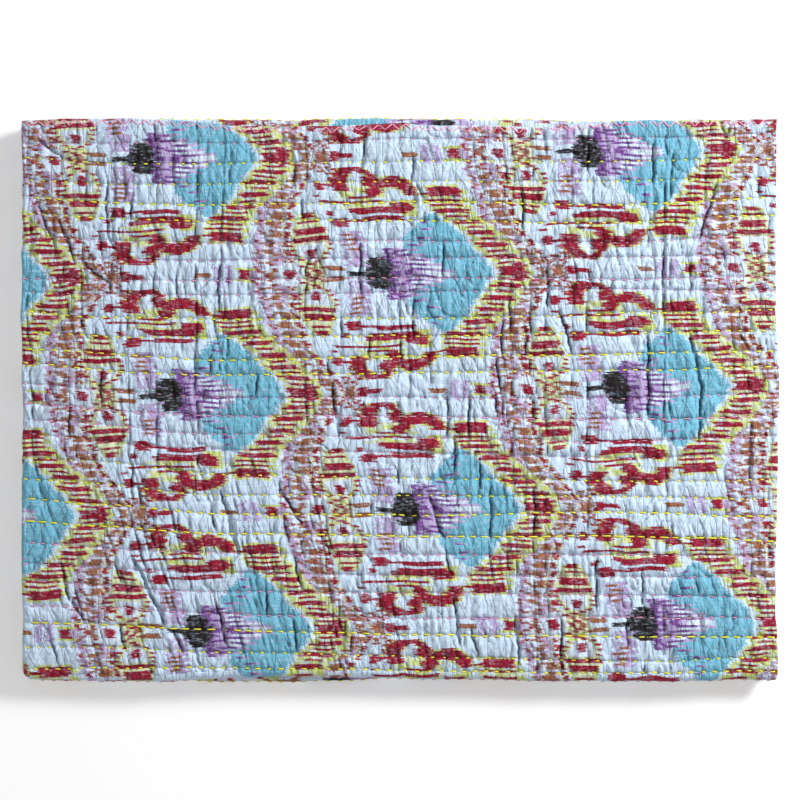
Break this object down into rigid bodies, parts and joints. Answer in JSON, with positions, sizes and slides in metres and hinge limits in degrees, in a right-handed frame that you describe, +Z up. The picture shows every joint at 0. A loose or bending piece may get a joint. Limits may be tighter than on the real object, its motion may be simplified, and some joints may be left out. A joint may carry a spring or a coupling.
{
  "type": "folded quilt",
  "caption": "Hand-stitched cotton quilt folded flat: doubled across its width, then folded back and forth into a soft stack with a rowed, puckered top face.",
  "frame": {"origin": "centre of the underside's bounding box, on the surface that the stack rests on", "axes": "+X from the book fold to the free side edges, +Y from the front folds to the hem, +Z up"},
  "size_m": [0.7608, 0.5684, 0.0348],
  "materials": {
    "quilted_cotton": "matte printed cotton with rows of running stitch"
  },
  "bodies": {
    "root": {"quilt": "quilted_cotton"}
  },
  "joints": []
}
